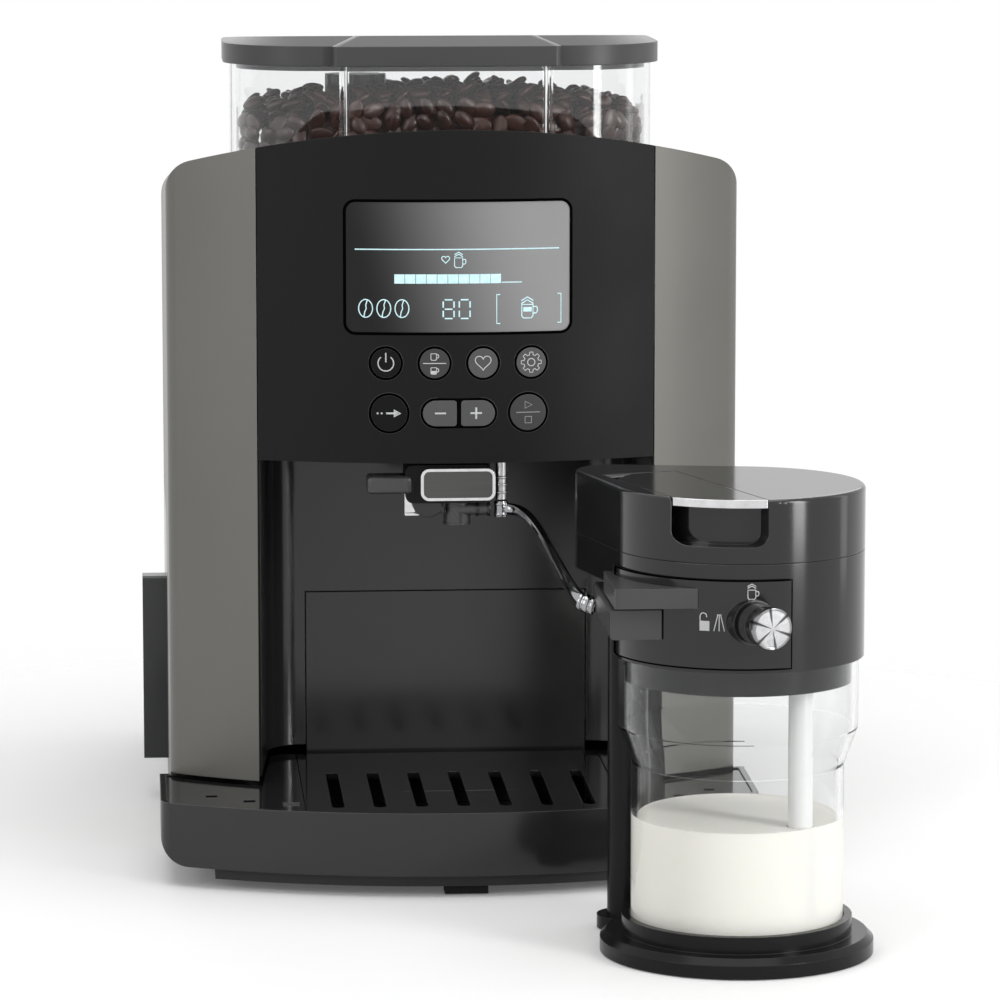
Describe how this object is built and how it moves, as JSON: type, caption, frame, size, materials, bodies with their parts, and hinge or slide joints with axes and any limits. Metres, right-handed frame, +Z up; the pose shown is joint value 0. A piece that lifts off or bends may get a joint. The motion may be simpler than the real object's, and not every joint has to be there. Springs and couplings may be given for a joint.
{
  "type": "bean-to-cup coffee machine",
  "caption": "Countertop bean-to-cup coffee machine with a clear bean hopper, screen and buttons, height-adjustable spout, pull-out drip tray and a milk carafe joined by a bent tube.",
  "frame": {"origin": "on the counter, under the middle of the machine, at the underside of its middle foot", "axes": "+X to the right seen from the front, +Y to the back, +Z up"},
  "size_m": [0.2733, 0.5322, 0.3326],
  "materials": {
    "case_grey": "satin metallic",
    "black_panel": "fine matte",
    "charcoal": "satin",
    "bay_grey": "gloss",
    "screen": "gloss",
    "button_grey": "satin",
    "clear": "clear",
    "smoke": "smoked clear",
    "bean": "roasted beans",
    "milk": "milk",
    "rubber": "matte",
    "steel": "brushed",
    "chrome": "polished",
    "alloy": "cast",
    "inner_plastic": "matte",
    "board": "board",
    "white_tube": "translucent"
  },
  "bodies": {
    "machine": {"base_pan": "black_panel", "rubber_feet": "rubber", "inner_frame": "steel", "left_side_panel": "case_grey", "right_side_panel": "case_grey", "front_panel": "black_panel", "bay_liner": "bay_grey", "top_cover": "black_panel", "rear_panel": "black_panel", "case_screws": "steel", "power_inlet": "black_panel", "display_window": "screen", "display_module": "inner_plastic", "control_board": "board", "bean_hopper": "clear", "coffee_beans": "bean", "grinder_housing": "inner_plastic", "grinder_motor": "steel", "brew_chamber": "inner_plastic", "heater_block": "alloy", "water_pump": "inner_plastic", "power_board": "board", "steam_nozzle": "steel"},
    "hopper_lid": {"hopper_lid": "charcoal"},
    "grind_knob": {"grind_knob": "charcoal"},
    "grinding_burr": {"grinding_burr": "steel"},
    "motor_pinion": {"motor_pinion": "steel"},
    "brew_piston": {"brew_piston": "inner_plastic"},
    "button_power": {"button_power": "button_grey"},
    "button_two_cups": {"button_two_cups": "button_grey"},
    "button_favourite": {"button_favourite": "button_grey"},
    "button_settings": {"button_settings": "button_grey"},
    "button_next": {"button_next": "button_grey"},
    "button_minus": {"button_minus": "button_grey"},
    "button_plus": {"button_plus": "button_grey"},
    "button_start": {"button_start": "button_grey"},
    "spout": {"spout_carriage": "black_panel", "badge_frame": "chrome", "badge_plate": "steel", "coffee_outlet": "charcoal"},
    "milk_tube": {"milk_tube": "chrome"},
    "drip_tray": {"drip_tray": "charcoal", "grounds_bin": "bay_grey"},
    "drip_grid": {"drip_grid": "charcoal"},
    "tray_float": {"tray_float": "rubber"},
    "water_tank": {"water_tank": "smoke", "tank_lid": "charcoal"},
    "carafe": {"carafe_base": "charcoal", "milk_jug": "clear", "milk_fill": "milk", "carafe_spine": "charcoal"},
    "carafe_head": {"carafe_head": "charcoal", "head_cover": "charcoal", "control_plate": "charcoal", "milk_duct": "charcoal", "suction_tube": "white_tube"},
    "lid_flap": {"lid_flap": "charcoal", "flap_edge": "chrome"},
    "froth_knob": {"froth_knob": "charcoal", "knob_cap": "chrome"}
  },
  "joints": [
    {"name": "hopper_lid_lift", "type": "slide", "parent": "machine", "child": "hopper_lid", "axis": [0, 0, 1], "range_m": [0, 0.08]},
    {"name": "grind_knob_turn", "type": "hinge", "parent": "machine", "child": "grind_knob", "pos_m": [-0.034, 0.02, 0.3], "axis": [0, 0, 1], "range_deg": [0, 270]},
    {"name": "burr_spin", "type": "hinge", "parent": "machine", "child": "grinding_burr", "pos_m": [0, -0.008, 0.22], "axis": [0, 0, 1], "continuous": true},
    {"name": "pinion_spin", "type": "hinge", "parent": "machine", "child": "motor_pinion", "pos_m": [0.04185, -0.008, 0.206], "axis": [0, 0, 1], "continuous": true},
    {"name": "brew_piston_slide", "type": "slide", "parent": "machine", "child": "brew_piston", "axis": [0, 0, -1], "range_m": [0, 0.026]},
    {"name": "button_power_press", "type": "slide", "parent": "machine", "child": "button_power", "axis": [0, 1, 0], "range_m": [0, 0.001], "stiffness_N_per_m": 600},
    {"name": "button_two_cups_press", "type": "slide", "parent": "machine", "child": "button_two_cups", "axis": [0, 1, 0], "range_m": [0, 0.001], "stiffness_N_per_m": 600},
    {"name": "button_favourite_press", "type": "slide", "parent": "machine", "child": "button_favourite", "axis": [0, 1, 0], "range_m": [0, 0.001], "stiffness_N_per_m": 600},
    {"name": "button_settings_press", "type": "slide", "parent": "machine", "child": "button_settings", "axis": [0, 1, 0], "range_m": [0, 0.001], "stiffness_N_per_m": 600},
    {"name": "button_next_press", "type": "slide", "parent": "machine", "child": "button_next", "axis": [0, 1, 0], "range_m": [0, 0.001], "stiffness_N_per_m": 600},
    {"name": "button_minus_press", "type": "slide", "parent": "machine", "child": "button_minus", "axis": [0, 1, 0], "range_m": [0, 0.001], "stiffness_N_per_m": 600},
    {"name": "button_plus_press", "type": "slide", "parent": "machine", "child": "button_plus", "axis": [0, 1, 0], "range_m": [0, 0.001], "stiffness_N_per_m": 600},
    {"name": "button_start_press", "type": "slide", "parent": "machine", "child": "button_start", "axis": [0, 1, 0], "range_m": [0, 0.001], "stiffness_N_per_m": 600},
    {"name": "spout_slide", "type": "slide", "parent": "machine", "child": "spout", "axis": [0, 0, -1], "range_m": [0, 0.034]},
    {"name": "milk_tube_unplug", "type": "slide", "parent": "machine", "child": "milk_tube", "axis": [0, 0, -1], "range_m": [0, 0.03]},
    {"name": "drip_tray_pull", "type": "slide", "parent": "machine", "child": "drip_tray", "axis": [0, -1, 0], "range_m": [0, 0.14]},
    {"name": "drip_grid_lift", "type": "slide", "parent": "drip_tray", "child": "drip_grid", "axis": [0, 0, 1], "range_m": [0, 0.05]},
    {"name": "tray_float_rise", "type": "slide", "parent": "drip_tray", "child": "tray_float", "axis": [0, 0, 1], "range_m": [0, 0.008]},
    {"name": "water_tank_pull", "type": "slide", "parent": "machine", "child": "water_tank", "axis": [-1, 0, 0], "range_m": [0, 0.12]},
    {"name": "carafe_aside", "type": "slide", "parent": "machine", "child": "carafe", "axis": [1, 0, 0], "range_m": [0, 0.168]},
    {"name": "carafe_head_lift", "type": "slide", "parent": "carafe", "child": "carafe_head", "axis": [0, 0, 1], "range_m": [0, 0.11]},
    {"name": "lid_flap_hinge", "type": "hinge", "parent": "carafe_head", "child": "lid_flap", "pos_m": [0.06095, -0.25143, 0.1763], "axis": [-0.9537, -0.3007, 0], "range_deg": [0, 80]},
    {"name": "froth_knob_turn", "type": "hinge", "parent": "carafe_head", "child": "froth_knob", "pos_m": [0.0941, -0.3276, 0.1327], "axis": [0.342, -0.9397, 0], "range_deg": [-50, 50]}
  ],
  "couplings": [
    {"joint": "pinion_spin", "follows": "burr_spin", "ratio": -3.3333},
    {"joint": "carafe_aside", "follows": "drip_tray_pull", "ratio": 1.2}
  ]
}
